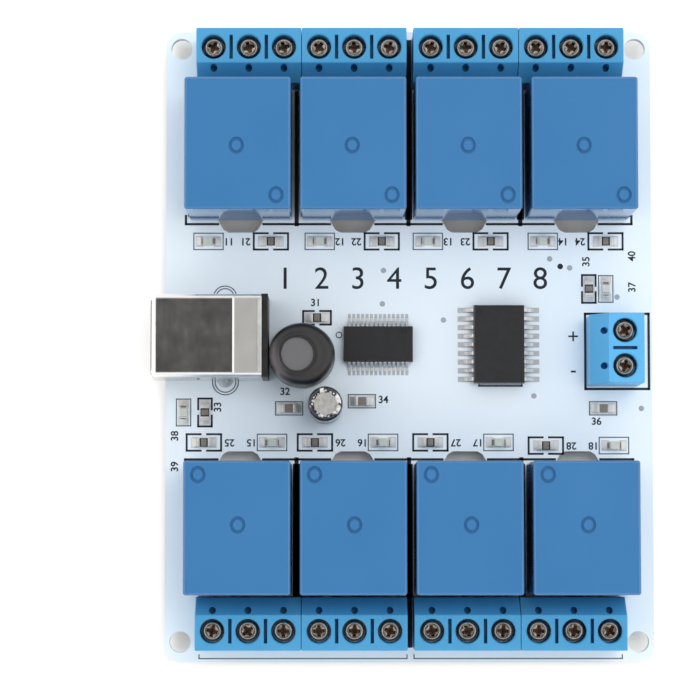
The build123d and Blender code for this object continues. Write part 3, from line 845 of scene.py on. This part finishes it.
def buildSocket():
    low, high = boxOf("usb_shell")
    s = socket
    sheet = s["sheet"]
    x0, x1 = low.x, high.x
    seam = x0 + s["seam"]
    shell = addBlock((x0, low.y, boardTop), (x1, high.y, high.z))
    # two cuts across the top make the step of the rear panel
    for x in (seam, seam + s["stepRun"]):
        editAll(shell)
        bpy.ops.mesh.bisect(plane_co=(x * mm, 0, 0), plane_no=(1, 0, 0))
        doneEditing()
    pickParts(shell, "VERT", lambda v: v.co.z / mm > high.z - near and v.co.x / mm > seam + near)
    bpy.ops.transform.translate(value=(0, 0, -s["step"] * mm))
    doneEditing()
    rear = high.z - s["step"]
    top = rear - near
    roundEdges(shell, s["topEdge"], 5, lambda e: all(v.co.z / mm > top for v in e.verts)
               and abs(e.verts[0].co.x - e.verts[1].co.x) > 1e-5)
    # the front and rear rims of the top roll over
    under = top - s["topEdge"]
    for end, width in ((x0, s["frontEdge"]), (x1, s["rearEdge"])):
        roundEdges(shell, width, 4, lambda e: all(abs(v.co.x / mm - end) < near and v.co.z / mm > under
                                                  for v in e.verts), True)
    cut(shell, addBlock((x0 - over, low.y + sheet, boardTop - over),
                        (x1 + over, high.y - sheet, rear - sheet)))
    # each side has a spring finger, cut free above, below and at its tip
    middle = boardTop + s["springHeight"]
    gap, half = s["springGap"], s["springWidth"] / 2
    start, end = x0 + s["springStart"], x0 + s["springStart"] + s["springLength"]
    cut(shell, *[addBlock((start, low.y - over, z), (end, high.y + over, z + gap))
                 for z in (middle - half - gap, middle + half)])
    half += near
    cut(shell, addBlock((end - gap, low.y - over, middle - half), (end, high.y + over, middle + half)))
    shell = join(shell, legBlade(low, low.y), legBlade(low, high.y - sheet))
    soften(shell, 0.05, 2, 50)
    place, width, depth = s["groove"]
    cut(shell, addBlock((x0 + place, low.y + s["topEdge"], rear - depth),
                        (x0 + place + width, high.y - s["topEdge"], high.z)))
    finish(shell, "socket_shell", shellNickel, ["usb_shell"])
    shell.data.materials.append(shellSatin)
    shell.data.materials.append(shellHighlight)
    panelStart, panelEnd = s["seam"] + s["stepRun"], place + width / 2
    for face in shell.data.polygons:
        reach = face.center.x / mm - x0
        if face.center.z / mm < under:
            continue
        rim = reach < s["frontEdge"] or s["seam"] < reach < panelStart or reach > panelEnd
        if rim or face.normal.z < s["flat"]:
            face.material_index = 2    # painted highlight on the rims, the step and the folded sides
        elif reach > panelStart:
            face.material_index = 1


# Inductor

coil = {
    "shoulder": 1.5,
    "crown": 0.35,    # fall of the sleeve's top from the lip to the shoulder
    "eyeRadius": 2.38,
    "lip": 0.3,
    "eyeShift": (-0.62, -0.1),
    "leanDepth": 2.2,    # the shift starts this far under the top
    "leanRise": 2.0,    # is whole this much higher
    "leanReach": 2.4,    # and fades out over this width round the eye
    "point": 0.25,    # how far the seam stands out at the right
    "pointSpread": 0.8,    # radians
    "ripple": 0.02,
    "oval": 0.14,    # how much flatter it shrank across the seam
    "fade": 1.2,    # these forms fade out over this width towards the eye
    "wall": 0.3,
}


def buildInductor():
    low, high = boxOf("inductor_sleeve")
    middle = middleOf((low, high))
    radius = (high.x - low.x) / 2
    c = coil
    eye, lip, top, shoulder = c["eyeRadius"], c["lip"], high.z, c["shoulder"]
    inner = radius - c["wall"]
    fold = top - shoulder - c["crown"]
    profile = [(inner, low.z), (radius - 0.05, low.z), (radius, low.z + 0.15), (radius, low.z + 3),
               (radius, low.z + 6), (radius, fold)]
    profile += [(radius - shoulder * (1 - cos(a)), fold + shoulder * sin(a))
                for a in map(radians, (18, 36, 54, 72, 88))]
    profile += [(eye + lip * 2.2, top - 0.16), (eye + lip, top), (eye + lip * 0.3, top - lip * 0.3),
                (eye, top - lip), (eye + 0.05, top - lip - 0.15), (inner - shoulder * 0.8, top - lip - 0.25),
                (inner, fold - 0.2)]
    sleeve = lathe(profile, middle.x, middle.y, 72)
    # the eye was left off the middle when the sleeve shrank
    shift = Vector((*c["eyeShift"], 0)) * mm
    for point in sleeve.data.vertices:
        away, turn = fromAxis(point, middle)
        height = point.co.z / mm
        rise = max(0.0, min(1.0, (height - top + c["leanDepth"]) / c["leanRise"]))
        point.co += shift * rise * max(0.0, 1 - max(0.0, away - eye) / c["leanReach"])
        # seam: a narrow swelling down the right side, and slow ripples all round
        seam = exp(-(turn / c["pointSpread"]) ** 2) * c["point"]
        ripple = c["ripple"] * (sin(5 * turn + height * 0.6) + 0.6 * sin(9 * turn + 2) - 1.6)
        fade = min(1, (away - inner) / c["fade"] + 1)
        if fade > 0:
            pushOut(point, turn, (seam + ripple - c["oval"] * sin(turn) ** 2) * fade)
    finish(sleeve, "inductor_shrink_sleeve", shrinkBlack, ["inductor_sleeve"], 60)
    softNode("inductor_core", "ferrite_drum", ferrite, 0.12)
    dress("inductor_winding", magnetWire)


# Capacitor

can = {
    "discRadius": 1.68,
    "bead": 0.28,    # rolled groove near the foot
    "fold": 0.85,    # how far the film folds over the shoulder
    "discDrop": 0.18,    # how far the disc lies under the rim
    "score": 0.09,    # width of the two crossed vent scores
    "scoreLength": 2.4192,
    "scoreDepth": 0.22,    # from the rim
    "scoreTurns": (25, 115),
    "film": 0.14,    # thickness of the film
}


def buildCapacitor():
    low, high = boxOf("capacitor_can")
    middle = middleOf((low, high))
    radius = (high.x - low.x) / 2
    top = high.z
    disc = can["discRadius"]
    profile = [(0.001, low.z), (radius, low.z), (radius, low.z + 0.6), (radius - can["bead"], low.z + 0.95),
               (radius, low.z + 1.3), (radius, top - 0.6), (radius - 0.12, top - 0.3),
               (radius - 0.36, top - 0.12), (radius - 0.55, top - 0.08), (disc + 0.06, top - 0.1),
               (disc, top - can["discDrop"]), (0.001, top - can["discDrop"])]
    body = lathe(profile, middle.x, middle.y, 56)
    for turn in can["scoreTurns"]:
        score = addSlab(can["scoreLength"] / 2, can["score"] / 2, top - can["scoreDepth"], top + over)
        score.data.transform(atPlace(middle.x, middle.y, 0, turn))
        cut(body, score)
    finish(body, "capacitor_drawn_can", canAluminium, ["capacitor_can"])
    low, high = boxOf("capacitor_sleeve")
    outer = (high.x - low.x) / 2
    inner = outer - can["film"]
    fold = outer - can["fold"]
    profile = [(inner, low.z), (outer, low.z), (outer, low.z + 1.6), (outer - 0.12, low.z + 2.1),
               (outer, low.z + 2.6), (outer, high.z - 0.15), (outer - 0.06, high.z + 0.12),
               (outer - 0.2, high.z + 0.3), (outer - 0.42, high.z + 0.42), (fold + 0.16, top - 0.03),
               (fold + 0.04, top - 0.05), (fold, top - 0.1), (fold + 0.12, top - 0.1),
               (outer - 0.5, high.z + 0.34), (outer - 0.3, high.z + 0.16), (inner, high.z)]
    film = lathe(profile, middle.x, middle.y, 96)
    for point in film.data.vertices:
        away, turn = fromAxis(point, middle)
        if point.co.z / mm > high.z - 0.05:
            # the folded edge puckers unevenly, most at its lip
            pucker = 0.05 * sin(7 * turn) + 0.05 * sin(11 * turn + 1) + 0.04 * sin(17 * turn + 2)
            share = min(1.0, (outer - away) / 0.5)
            pushOut(point, turn, pucker * share)
            point.co.z -= (0.03 + 0.45 * abs(pucker)) * share * mm
    finish(film, "capacitor_film_sleeve", filmSleeve, ["capacitor_sleeve"], 50)
    dress("capacitor_bung", rubber)


# Chips

chips = {
    "bodyEdge": 0.08,
    "dimpleRadius": 0.4,
    "dimpleDepth": 0.15,
    "fineDimple": (3.72, 1.66),    # pin one marks, from the middle of each chip
    "wideDimple": (-2.95, 4.7),
    "leadBend": 0.16,
    "padThick": 0.05,
    "toe": 0.28,    # length of the solder before a lead
    # each pad has its half width and length, and how far it reaches past the lead
    "fineLead": {"node": "interface_chip", "body": 5.3, "width": 0.37, "thickness": 0.17, "foot": 0.5,
                 "shoulder": 0.12, "pad": (0.21, 1.822), "padOut": 0.62},
    "wideLead": {"node": "driver_chip", "body": 7.5, "width": 0.52, "thickness": 0.27, "foot": 0.56,
                 "shoulder": 0.16, "pad": (0.39, 2.51), "padOut": 0.85},
}


def buildChip(lead, dimple):
    node = lead["node"]
    low, high = boxOf(f"{node}_body")
    middle = middleOf((low, high))
    body = mergedNode(f"{node}_body")
    soften(body, chips["bodyEdge"], 2, 15)
    cut(body, addRound(chips["dimpleRadius"], high.z - chips["dimpleDepth"], high.z + over,
                       middle.x + dimple[0], middle.y + dimple[1]))
    finish(body, f"{node}_moulding", epoxy, [f"{node}_body"], 20)
    boxes = solidsOf(f"{node}_leads")
    upright = high.y - low.y > high.x - low.x    # an upright chip has its leads to the left and right
    side = 0 if upright else 1
    span = max(abs(corner[side] - middle[side]) for box in boxes for corner in box)
    root, half, wide = lead["body"] / 2, lead["thickness"] / 2, lead["width"] / 2
    level = max(box[1].z for box in boxes) - boardTop - half
    points = [(root - 0.05, level), (root + lead["shoulder"] * 0.6, level), (span - lead["foot"], half),
              (span, half)]
    model = bentStrip(points, lead["width"], lead["thickness"], chips["leadBend"])
    padHalf, padLength = lead["pad"]
    padEnd = span + lead["padOut"]
    pad = addBlock((-padHalf, padEnd - padLength, 0), (padHalf, padEnd, chips["padThick"]))
    soften(pad, 0.04)
    # a wedge of solder runs down from the toe of the lead
    toeEnd = span + chips["toe"]
    toe = addBlock((-wide, span - 0.03, 0), (wide, toeEnd, half * 1.6))
    pickParts(toe, "VERT", lambda v: v.co.z / mm > near and v.co.y / mm > toeEnd - near)
    bpy.ops.transform.translate(value=(0, 0, -half * 1.3 * mm))
    doneEditing()
    pad = join(pad, toe)
    places = []
    for spot in map(middleOf, boxes):
        if upright:
            places.append(atPlace(middle.x, spot.y, boardTop, -90 if spot.x > middle.x else 90))
        else:
            places.append(atPlace(spot.x, middle.y, boardTop, 0 if spot.y > middle.y else 180))
    finish(joinCopies(model, places), f"{node}_formed_leads", tin, [f"{node}_leads"])
    finish(joinCopies(pad, places), f"{node}_pads", dullSolder)


# Small two-terminal parts

small = {
    "length": 2.0,
    "width": 1.25,
    "cap": 0.4,
    "reflectionPatch": 0.8,    # length of the painted reflection on a resistor's top
    "notch": 0.24,    # radius of the plated quarter rounds at a lamp's corners
    "electrodes": (0.16, 0.3),    # bared length at each end of a lamp
    "electrodeIn": 0.22,    # from the lamp's long sides
    "padHalf": 1.88,    # pads reach this far from the middle
    "padLength": 1.15,
    "padWidth": 1.6,
    "padThick": 0.045,
    "edge": 0.07,
}


def seatsFor(bodies, ends=None):
    # middle and turn of each small part, read from its CAD boxes
    seats = []
    endMiddles = [middleOf(box) for box in solidsOf(ends)] if ends else []
    for box in solidsOf(bodies):
        middle = middleOf(box)
        size = box[1] - box[0]
        upright = size.y > size.x + 0.1
        if ends:
            # an upright part has an end straight above or below its middle
            gaps = [end - middle for end in endMiddles]
            upright = any(abs(gap.y) > 0.5 and abs(gap.x) < 0.2 and gap.length < 1.2 for gap in gaps)
        seats.append((middle.x, middle.y, 90 if upright else 0))
    return seats


def padPair(rampHeight):
    # both pads of a part with their solder fillets, round the part's middle
    half, end, wide = small["length"] / 2, small["padHalf"], small["padWidth"] / 2
    pieces = []
    for turn in (0, 180):
        pad = addBlock((end - small["padLength"], -wide, 0), (end, wide, small["padThick"]))
        soften(pad, 0.035)
        both = join(pad, solderRamp(half, end - half - 0.12, small["width"] * 0.94, rampHeight))
        both.data.transform(atPlace(0, 0, 0, turn))
        pieces.append(both)
    return join(*pieces)


def onSeats(model, seats):
    return joinCopies(model, [atPlace(x, y, boardTop, turn) for x, y, turn in seats])


def endCaps(height):
    # metallised ends that wrap the part, a little proud of it
    half, wide = small["length"] / 2, small["width"] / 2
    caps = []
    for x in (-half, half - small["cap"]):
        cap = addBlock((x, -wide, 0), (x + small["cap"], wide, height))
        soften(cap, small["edge"], 3)
        caps.append(cap)
    return join(*caps)


def topOf(node):
    return boxOf(node)[1].z - boardTop


def buildSmallParts():
    half, wide = small["length"] / 2, small["width"] / 2
    inner = half - small["cap"]
    resistors = seatsFor("resistor_bodies", "resistor_end_caps")
    ceramics = seatsFor("ceramic_capacitor_bodies", "ceramic_capacitor_end_caps")
    lamps = seatsFor("led_bases")

    top = topOf("resistor_bodies")
    chip = addSlab(inner + 0.02, wide, 0, top - 0.04)
    finish(onSeats(chip, resistors), "resistor_chips", resistorGlass, ["resistor_bodies"])
    # a pale patch on each resistor's top: painted reflection
    reflectionPatch = addSlab(small["reflectionPatch"] / 2, wide - 0.1, top - 0.06, top)
    soften(reflectionPatch, 0.03)
    finish(onSeats(reflectionPatch, resistors), "resistor_painted_reflections", resistorReflection)
    finish(onSeats(endCaps(top + 0.03), resistors), "resistor_terminations", tin,
           ["resistor_end_caps"])
    finish(onSeats(padPair(top * 0.8), resistors), "resistor_solder", solder)

    top = topOf("ceramic_capacitor_bodies")
    block = addSlab(inner + 0.05, wide - 0.03, 0.02, top)
    soften(block, 0.05)
    finish(onSeats(block, ceramics), "ceramic_blocks", titanate, ["ceramic_capacitor_bodies"])
    finish(onSeats(endCaps(top + 0.03), ceramics), "ceramic_terminations", tin,
           ["ceramic_capacitor_end_caps"])
    finish(onSeats(padPair(top * 0.6), ceramics), "ceramic_solder", solder)

    top, lensTop = topOf("led_bases"), topOf("led_lenses")
    base = addSlab(half, wide, 0, top)
    cut(base, *[addRound(small["notch"], -over, 2 * over, x, y, 20)
                for x in (-half, half) for y in (-wide, wide)])
    soften(base, 0.03, 2, 50)
    finish(onSeats(base, lamps), "lamp_bases", lampBase, ["led_bases"])
    low, high = solidsOf("led_lenses")[0]
    lens = addSlab(max(high.x - low.x, high.y - low.y) / 2, wide, top, lensTop)
    scaleParts(lens, (0.86, 0.94, 1), lambda v: v.co.z / mm > lensTop - near)
    soften(lens, 0.07, 3)
    finish(onSeats(lens, lamps), "lamp_domes", lampLens, ["led_lenses"])
    # a lamp's two electrodes differ in length, and the lower row is turned round
    turned = [(x, y, turn if turn or y > 0 else 180) for x, y, turn in lamps]
    short, long = small["electrodes"]
    wide -= small["electrodeIn"]
    ends = [addBlock((x0, -wide, top - 0.01), (x1, wide, top + 0.03))
            for x0, x1 in ((-half, short - half), (half - long, half))]
    finish(onSeats(join(*ends), turned), "lamp_electrodes", lampPlate)
    finish(onSeats(padPair(top * 0.9), turned), "lamp_solder", solder)
    return resistors, ceramics, lamps


# Print on the board

silk = {
    "thick": 0.02,
    "bold": 0.34,
    "fine": 0.16,
    "rows": 12,    # parts further than this from the middle belong to the relay rows
    "resistor": (5.05, 2.42),    # outline, along and across the part
    "middleResistor": (4.1, 2.0),
    "resistorLine": 0.289,
    "resistorGap": 0.95,
    "lamp": (4.32, 2.42),
    "middleLamp": (3.95, 2.1),
    "ceramic": (4.0, 1.95),
    "topRow": (17.65, 1.2, 37.2),    # row line, its inward step, and how far the bars between relays reach
    "bottomRow": (-17.04, -1.2, -36.7),
    "rowEnds": (-32.84, 32.9),
    "separators": (-16.5, 0.0, 16.5),
    "separatorWidth": 0.62,
    "gapShadeWidth": 1.1,    # the same bar widened where it runs between two relay covers: painted shade down in the gap
    "narrowGap": (-16.5, 1.2),    # the one that stays narrow, and its row's inward step
    "blockGap": 0.44,    # half width of the printed bar in the gap between two pairs of terminals
    "slotHalf": 3.35,    # the row lines stop this far from the middle of an isolation slot
    "frontLine": -46.12,
    "frontPairs": ((-30.72, -0.34), (0.68, 31.12)),
    "tick": 0.55,
    "powerBox": (30.645, -1.16, 0, (9.35, 11.08), 0.36),    # middle, turn, size and line
    "legRings": ((-27.03, 6.77, 1.72), (-26.96, -5.65, 1.9)),
    "legRingStep": 0.38,    # from each of these to a second ring inside it
    "pinRing": (-10.26, 1.26, 0.42),
    "title": (-18.2, 19.4, 9.46),    # middles of the first and last figure, and their height on the board
    "titleSize": 4.6,
    "labelSize": 1.5,
    "labelBold": 0.03,
    "labelOut": (3.0, 3.75),    # from the middle of a lamp and of a resistor to its number
    "labels": (("31", -13.7, 6.0, 0), ("32", -18.2, -7.1, 0), ("33", -28.05, -9.35, 90),
               ("34", -3.75, -8.3, 0), ("35", 26.2, 12.1, 90), ("36", 27.55, -11.5, 0),
               ("37", 32.95, 8.3, 90), ("38", -34.35, -13.6, 90), ("39", -34.35, -18.1, 90),
               ("40", 32.95, 12.9, 90)),
    "signs": (("+", 24.2, 0.9, 0), ("-", 24.2, -3.9, 0)),
    "signSize": 3.0,
    "driverBar": (10.35, 16.6, -6.22),    # the grey bar at the lower end of the driver chip
}


def bar(x0, y0, x1, y1, width):
    # a straight printed line between two points, square to the board's sides
    half = width / 2
    xs, ys = sorted((x0, x1)), sorted((y0, y1))
    return addBlock((xs[0] - half, ys[0] - half, boardTop - sink),
                    (xs[1] + half, ys[1] + half, boardTop + silk["thick"]))


def frameBars(x, y, turn, size, width, gap=0.0):
    # an outline round a part, with a gap in the middle of its long sides
    along, across = size[0] / 2, size[1] / 2
    ends = ((-along, -gap / 2), (gap / 2, along)) if gap else ((-along, along),)
    lines = [(side * along, -across, side * along, across) for side in (-1, 1)]
    lines += [(a, side * across, b, side * across) for side in (-1, 1) for a, b in ends]
    if turn % 180:
        lines = [(y0, x0, y1, x1) for x0, y0, x1, y1 in lines]
    return [bar(x + x0, y + y0, x + x1, y + y1, width) for x0, y0, x1, y1 in lines]


def ringBand(x, y, radius, width):
    inner, outer = radius - width / 2, radius + width / 2
    low, high = boardTop - sink, boardTop + silk["thick"]
    return lathe([(inner, low), (outer, low), (outer, high), (inner, high)], x, y, 48)


def figure(text, x, y, size, turn=0, bold=0.0):
    # plain figures round their own middle, made a mesh and merged before they take their place
    clearPick()
    bpy.ops.object.text_add()
    writing = bpy.context.object
    writing.data.body = text
    writing.data.size = size * mm
    writing.data.extrude = silk["thick"] * mm
    writing.data.offset = bold * mm
    writing.data.align_x = "CENTER"
    writing.data.align_y = "CENTER"
    bpy.ops.object.convert(target="MESH")
    writing = bpy.context.object
    faceOut(writing)
    writing.data.transform(atPlace(x, y, boardTop, turn))
    return writing


def buildPrint(resistors, ceramics, lamps):
    k = silk
    bold, fine = k["bold"], k["fine"]
    marks, thinMarks = [], []
    for x, y, turn in resistors:
        size = k["resistor" if abs(y) > k["rows"] else "middleResistor"]
        marks += frameBars(x, y, turn, size, k["resistorLine"], k["resistorGap"])
    for x, y, turn in lamps:
        thinMarks += frameBars(x, y, turn, k["lamp" if abs(y) > k["rows"] else "middleLamp"], fine)
    for x, y, turn in ceramics:
        thinMarks += frameBars(x, y, turn, k["ceramic"], fine)
    # a line along each relay row, broken at the isolation slots, and bars between the relays
    columns = [middleOf(boxOf(f"relay_cover_{number}")).x for number in range(1, 5)]
    left, right = k["rowEnds"]
    stops = [left] + [x + side * k["slotHalf"] for x in columns for side in (-1, 1)] + [right]
    for rowY, step, end in (k["topRow"], k["bottomRow"]):
        marks += [bar(x0, rowY, x1, rowY, bold) for x0, x1 in zip(stops[::2], stops[1::2])]
        marks += [bar(x, rowY, x, rowY + step, bold) for x in (left, right)]
        marks += [bar(x, rowY, x, end, k["separatorWidth"]) for x in k["separators"]]
        # between the covers the bars are widened: painted shade down in the gaps
        marks += [bar(x, rowY + step, x, end, k["gapShadeWidth"]) for x in k["separators"]
                  if (x, step) != k["narrowGap"]]
    for node in ("terminal_housing_2", "terminal_housing_6"):
        low, high = boxOf(node)
        marks.append(bar(0, low.y + 0.5, 0, high.y - 0.5, 2 * k["blockGap"]))
    y = k["frontLine"]
    for x0, x1 in k["frontPairs"]:
        thinMarks.append(bar(x0, y, x1, y, fine))
        thinMarks += [bar(x, y, x, y + k["tick"], fine) for x in (x0, x1)]
    marks += frameBars(*k["powerBox"])
    thinMarks += [ringBand(x, y, radius - step, fine) for x, y, radius in k["legRings"]
                  for step in (0, k["legRingStep"])]
    thinMarks.append(ringBand(*k["pinRing"], fine))
    first, last, y = k["title"]
    marks += [figure(str(i + 1), first + (last - first) * i / 7, y, k["titleSize"]) for i in range(8)]
    marks += [figure(text, x, y, k["signSize"], turn) for text, x, y, turn in k["signs"]]
    marks += [figure(text, x, y, k["labelSize"], turn, k["labelBold"]) for text, x, y, turn in k["labels"]]
    # numbers between each lamp and its resistor, upside down as seen from the front
    for seats, tens, out in ((lamps, 10, k["labelOut"][0]), (resistors, 20, k["labelOut"][1])):
        for sign, first in ((1, 1), (-1, 5)):
            inward = sign if seats is lamps else -sign
            row = sorted(seat for seat in seats if seat[1] * sign > k["rows"])
            marks += [figure(str(number), x + inward * out, y, k["labelSize"], 180, k["labelBold"])
                      for number, (x, y, turn) in enumerate(row, tens + first)]
    left, right, y = k["driverBar"]
    thinMarks.append(bar(left, y, right, y, bold))
    thinMarks += [bar(x, y, x, y + 0.4, fine) for x in (left, right)]
    finish(join(*marks), "board_print", ink)
    finish(join(*thinMarks), "thin_board_print", thinInk)


# Solder joints and vias

joint = {
    "stout": (1.0, 0.6, 1.15),    # radius at the pad and at the pin, and height, under stout pins
    "fine": (0.78, 0.36, 1.15),
    "leg": (1.2, 0.7, 0.7),    # under the socket's legs
    "collar": (1.2, 0.5, 0.75),    # round them on top of the board
    "sides": 20,
    "legs": ((-27.03, 6.12), (-26.96, -5.3)),
    "vias": ((20.8, 12.5), (23.74, 11.17), (30.7, 6.87), (5.11, 3.47), (18.38, -7.72), (34.17, -9.56),
             (-3.7, 10.79), (-3.88, 5.85)),
    "openVia": (22.35, 11.39),
    "viaRadius": 0.42,
}


def solderCone(radius, tip, height, base, sign):
    # concave joint from the pad to the pin, as rings drawn in and away from the board; sign is 1 for up
    rings = [(0.001, 0), (radius, 0), (radius, 0.06), (radius * 0.74, height * 0.22),
             (radius * 0.52 + tip * 0.2, height * 0.5), (tip + 0.08, height * 0.85), (tip, height),
             (0.001, height * 0.98)]
    return lathe([(r, base + sign * h) for r, h in rings], 0, 0, joint["sides"])


def pinPlaces(*nodes):
    # where the solids that reach below the board pass through it
    middles = [middleOf(box) for node in nodes for box in solidsOf(node) if box[0].z < boardBottom - 1]
    return [atPlace(middle.x, middle.y) for middle in middles]


def buildJoints():
    j = joint
    stout = pinPlaces("relay_contact_pins", "top_terminal_clamps", "bottom_terminal_clamps",
                      "power_terminal_clamps")
    fine = pinPlaces("relay_coil_pins", "inductor_leads", "capacitor_leads", "usb_contacts")
    legs = [atPlace(x, y) for x, y in j["legs"]]
    joints = [joinCopies(solderCone(*j[size], boardBottom, -1), places)
              for size, places in (("stout", stout), ("fine", fine), ("leg", legs))]
    finish(join(*joints), "solder_joints", solder, (), 40)
    collars = joinCopies(solderCone(*j["collar"], boardTop, 1), legs)
    finish(collars, "leg_solder", dullSolder, (), 40)
    radius, low, high = j["viaRadius"], boardTop - sink, boardTop + 0.02
    profile = [(0.001, low), (radius, low), (radius - 0.06, high), (0.14, high), (0.001, high - 0.015)]
    finish(join(*[lathe(profile, x, y, 24) for x, y in j["vias"]]), "vias", viaPlate)
    # the open via's hole is a black ink disc: painted shade in the hole
    hole = addRound(radius, low, boardTop + 0.012, *j["openVia"], 24)
    soften(hole, 0.005, 1)
    finish(hole, "open_via_painted_shade", ink)


print("relays")
buildRelays()
print("terminal blocks")
buildHousings()
buildScrews()
for row in ("top", "bottom", "power"):
    dress(f"{row}_terminal_clamps", tin)
print("socket")
buildSocket()
softNode("usb_insulator", "socket_body", socketBlack, 0.12)
softNode("usb_contacts", "socket_contacts", contactGold, 0.05)
print("inductor and capacitor")
buildInductor()
buildCapacitor()
print("chips")
buildChip(chips["fineLead"], chips["fineDimple"])
buildChip(chips["wideLead"], chips["wideDimple"])
print("small parts")
resistorSeats, ceramicSeats, lampSeats = buildSmallParts()
print("print, solder and pins")
buildPrint(resistorSeats, ceramicSeats, lampSeats)
buildJoints()
softNode("relay_contact_pins", "relay_contact_blades", tin, 0.08)
softNode("relay_coil_pins", "relay_coil_posts", tin, 0.08)
dress("inductor_leads", tin)
dress("capacitor_leads", tin)
dress("circuit_board", solderMask)
